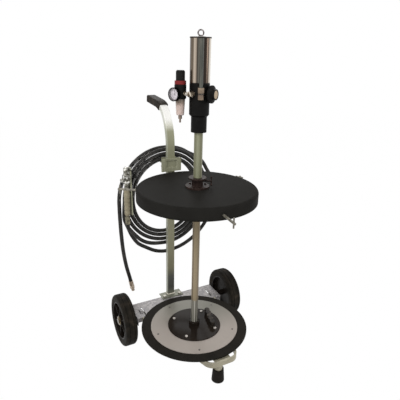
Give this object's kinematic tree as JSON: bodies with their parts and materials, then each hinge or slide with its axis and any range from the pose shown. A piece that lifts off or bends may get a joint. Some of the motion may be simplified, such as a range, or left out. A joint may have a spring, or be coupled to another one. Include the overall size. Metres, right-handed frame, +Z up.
{
  "type": "pneumatic grease pump on a trolley",
  "caption": "Air-driven drum grease pump with filter-regulator, drum cover and follower plate on a wheeled trolley with bent handle, coiled delivery hose and grease gun.",
  "frame": {"origin": "on the floor under the middle of the part, measured without the hose", "axes": "+Z up from the floor, +X along the wheel axle, +Y towards the handle's grip"},
  "size_m": [0.5086, 0.7024, 1.1565],
  "materials": {
    "galvanised": "spangled zinc",
    "zinc": "yellowish zinc plating",
    "axle_steel": "turned",
    "bright_cap": "polished",
    "bolt_steel": "zinc plated",
    "hub_plastic": "moulded",
    "tyre_rubber": "matt",
    "grip_rubber": "matt",
    "foot_rubber": "satin",
    "cap_metal": "turned",
    "cylinder_chrome": "polished",
    "body_black": "satin black",
    "nut_brass": "nickelled brass",
    "porous": "sintered",
    "tube_steel": "ground",
    "piston_metal": "turned",
    "rod_steel": "ground",
    "regulator_black": "satin",
    "ring_red": "glossy",
    "spring_steel": "drawn",
    "bowl_clear": "clear polycarbonate",
    "drain_metal": "dull",
    "dial_white": "printed",
    "needle_black": "matt",
    "lens_clear": "clear",
    "cover_black": "satin black enamel",
    "collar_metal": "dark phosphated",
    "wiper_rubber": "matt",
    "ring_steel": "sheet",
    "dome_black": "gloss black",
    "hose_rubber": "matt with printed dashes",
    "gun_grip_metal": "satin",
    "gun_chrome": "polished"
  },
  "bodies": {
    "chassis": {"axle_plate": "galvanised", "axle": "axle_steel", "axle_caps": "bright_cap", "post": "zinc", "post_grip": "grip_rubber", "trolley_bolts": "bolt_steel", "hanger_strap": "zinc", "hanger_hook": "zinc", "base_frame": "zinc", "rubber_foot": "foot_rubber", "hose_coil": "hose_rubber", "hose_tail": "hose_rubber", "hose_fitting": "nut_brass", "gun_swivel": "nut_brass", "gun_grip": "gun_grip_metal", "gun_body": "gun_chrome"},
    "wheel_left": {"hub_left": "hub_plastic", "tyre_left": "tyre_rubber"},
    "wheel_right": {"hub_right": "hub_plastic", "tyre_right": "tyre_rubber"},
    "pump": {"eye_bolt": "bright_cap", "top_cap": "cap_metal", "motor_cylinder": "cylinder_chrome", "motor_body": "body_black", "pump_neck": "body_black", "transfer_tube": "cap_metal", "tube_nuts": "nut_brass", "silencer_housing": "body_black", "silencer_disc": "porous", "inlet_elbow": "nut_brass", "sleeve_tube": "zinc", "pump_tube": "tube_steel", "regulator_body": "regulator_black", "regulator_ring": "ring_red", "regulator_spring": "spring_steel", "filter_bowl": "bowl_clear", "filter_element": "porous", "gauge_case": "regulator_black", "gauge_dial": "dial_white", "gauge_lens": "lens_clear"},
    "piston": {"air_piston": "piston_metal", "piston_seal": "foot_rubber", "plunger_rod": "rod_steel"},
    "adjuster": {"regulator_screw": "bolt_steel"},
    "knob": {"regulator_knob": "regulator_black"},
    "needle": {"gauge_needle": "needle_black"},
    "drain": {"drain_valve": "drain_metal"},
    "cover": {"cover_disc": "cover_black", "cover_collar": "collar_metal", "collar_bolts": "collar_metal"},
    "clamp": {"clamp_screw": "collar_metal"},
    "rim_front": {"rim_screw_front": "bolt_steel"},
    "rim_right": {"rim_screw_right": "bolt_steel"},
    "rim_left": {"rim_screw_left": "bolt_steel"},
    "follower": {"follower_wiper": "wiper_rubber", "follower_ring": "ring_steel", "follower_dome": "dome_black", "follower_screws": "bolt_steel", "follower_handle": "dome_black"},
    "lever": {"gun_lever": "zinc"}
  },
  "joints": [
    {"name": "wheel_left_spin", "type": "hinge", "parent": "chassis", "child": "wheel_left", "pos_m": [-0.229, 0.09497, 0.1], "axis": [1, 0, 0], "continuous": true},
    {"name": "wheel_right_spin", "type": "hinge", "parent": "chassis", "child": "wheel_right", "pos_m": [0.229, 0.09497, 0.1], "axis": [1, 0, 0], "continuous": true},
    {"name": "pump_lift", "type": "slide", "parent": "chassis", "child": "pump", "axis": [0, 0, 1], "range_m": [0, 0.3]},
    {"name": "piston_stroke", "type": "slide", "parent": "pump", "child": "piston", "axis": [0, 0, 1], "range_m": [0, 0.09]},
    {"name": "adjuster_turn", "type": "hinge", "parent": "pump", "child": "adjuster", "pos_m": [-0.06388, -0.05188, 1.01], "axis": [0, 0, 1], "range_deg": [-540, 540]},
    {"name": "knob_pull", "type": "slide", "parent": "adjuster", "child": "knob", "axis": [0, 0, 1], "range_m": [0, 0.003]},
    {"name": "needle_turn", "type": "hinge", "parent": "pump", "child": "needle", "pos_m": [-0.08741, -0.06172, 0.969], "axis": [-0.9225, -0.3859, 0], "range_deg": [-135, 135]},
    {"name": "drain_turn", "type": "hinge", "parent": "pump", "child": "drain", "pos_m": [-0.06388, -0.05188, 0.895], "axis": [0, 0, 1], "range_deg": [0, 180]},
    {"name": "cover_slide", "type": "slide", "parent": "pump", "child": "cover", "axis": [0, 0, 1], "range_m": [-0.08, 0.14]},
    {"name": "clamp_turn", "type": "hinge", "parent": "cover", "child": "clamp", "pos_m": [0.01516, -0.09337, 0.69], "axis": [0.8387, -0.5446, 0], "range_deg": [-720, 0]},
    {"name": "rim_right_turn", "type": "hinge", "parent": "cover", "child": "rim_right", "pos_m": [0.19896, 0.01908, 0.642], "axis": [0.9085, 0.4179, 0], "range_deg": [0, 1080]},
    {"name": "rim_left_turn", "type": "hinge", "parent": "cover", "child": "rim_left", "pos_m": [-0.19771, 0.05588, 0.642], "axis": [-0.8161, 0.5779, 0], "range_deg": [0, 1080]},
    {"name": "rim_front_turn", "type": "hinge", "parent": "cover", "child": "rim_front", "pos_m": [-0.03124, -0.30605, 0.642], "axis": [-0.0924, -0.9957, 0], "range_deg": [0, 1080]},
    {"name": "follower_slide", "type": "slide", "parent": "pump", "child": "follower", "axis": [0, 0, 1], "range_m": [0, 0.36]},
    {"name": "lever_squeeze", "type": "hinge", "parent": "chassis", "child": "lever", "pos_m": [-0.164, 0.15697, 0.687], "axis": [0, 1, 0], "range_deg": [-12, 0]}
  ]
}
